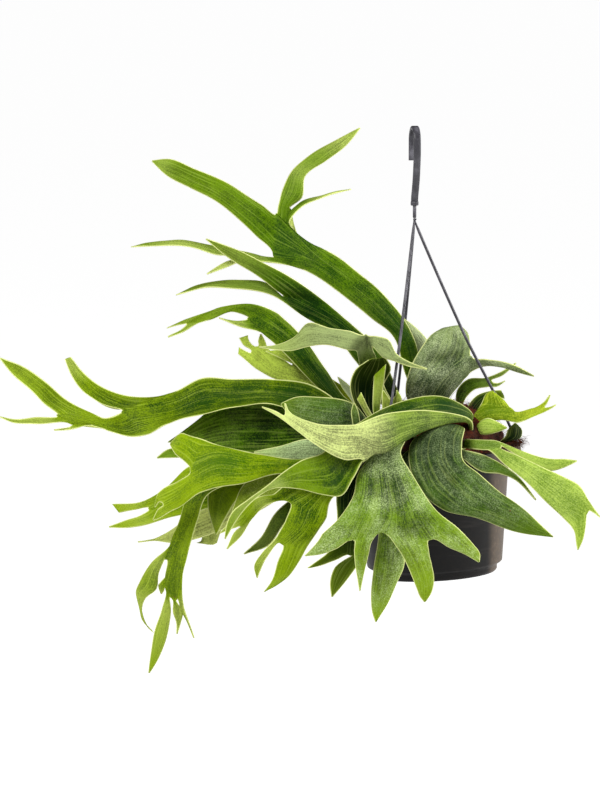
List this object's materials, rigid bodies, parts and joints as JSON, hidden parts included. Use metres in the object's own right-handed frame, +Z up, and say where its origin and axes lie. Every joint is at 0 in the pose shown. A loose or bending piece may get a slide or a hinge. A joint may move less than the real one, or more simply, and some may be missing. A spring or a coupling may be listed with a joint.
{
  "type": "staghorn fern in a hanging pot",
  "caption": "Staghorn fern with long forked leathery fronds, growing in a round black plastic pot that hangs from three strands and a hook.",
  "frame": {"origin": "inner crown of the hook, the point that rests on what it hangs from", "axes": "+Z up; +X towards the right as the plant is seen from its usual front, -Y is the front; the long fronds reach towards -X"},
  "size_m": [0.5299, 0.2689, 0.48],
  "materials": {
    "frond_dark": "leathery, dark green with fine pale fuzz",
    "frond_mid": "leathery, mid green with fine pale fuzz",
    "frond_light": "leathery, light green",
    "frond_hairy": "leathery, thick whitish felt over green",
    "frond_young": "soft young growth, yellow green",
    "pot": "satin black moulded plastic",
    "coir": "loose red-brown fibres",
    "hanger": "satin grey moulded plastic"
  },
  "bodies": {
    "root": {"pot": "pot", "root_ball": "coir", "hook": "hanger", "strand_right": "hanger", "strand_front_left": "hanger", "strand_back": "hanger", "frond_tall": "frond_mid", "frond_tall_back": "frond_hairy", "frond_high_left": "frond_dark", "frond_arched": "frond_mid", "frond_arched_small": "frond_hairy", "frond_ragged": "frond_light", "frond_wavy": "frond_hairy", "frond_long_left": "frond_dark", "frond_dark_left": "frond_dark", "frond_inner_left": "frond_hairy", "frond_broad_left": "frond_light", "frond_left_twin": "frond_light", "frond_left_thin": "frond_light", "frond_drooping": "frond_mid", "frond_curled": "frond_light", "frond_low_left": "frond_mid", "frond_front": "frond_mid", "frond_front_right": "frond_hairy", "frond_under_front": "frond_dark", "frond_under_grey": "frond_hairy", "frond_right_low": "frond_light", "frond_right_dark": "frond_dark", "frond_upright_grey": "frond_hairy", "frond_right_thin": "frond_dark", "frond_young_yellow": "frond_young", "frond_young_pale": "frond_light", "frond_young_dark": "frond_dark", "shield_right": "frond_dark", "shield_inner": "frond_dark", "cut_stalk_tall": "frond_light", "shield_front": "frond_young", "frond_back_drooping": "frond_mid", "frond_back_left": "frond_mid", "frond_back_right": "frond_mid", "frond_back_small": "frond_hairy"}
  },
  "joints": []
}
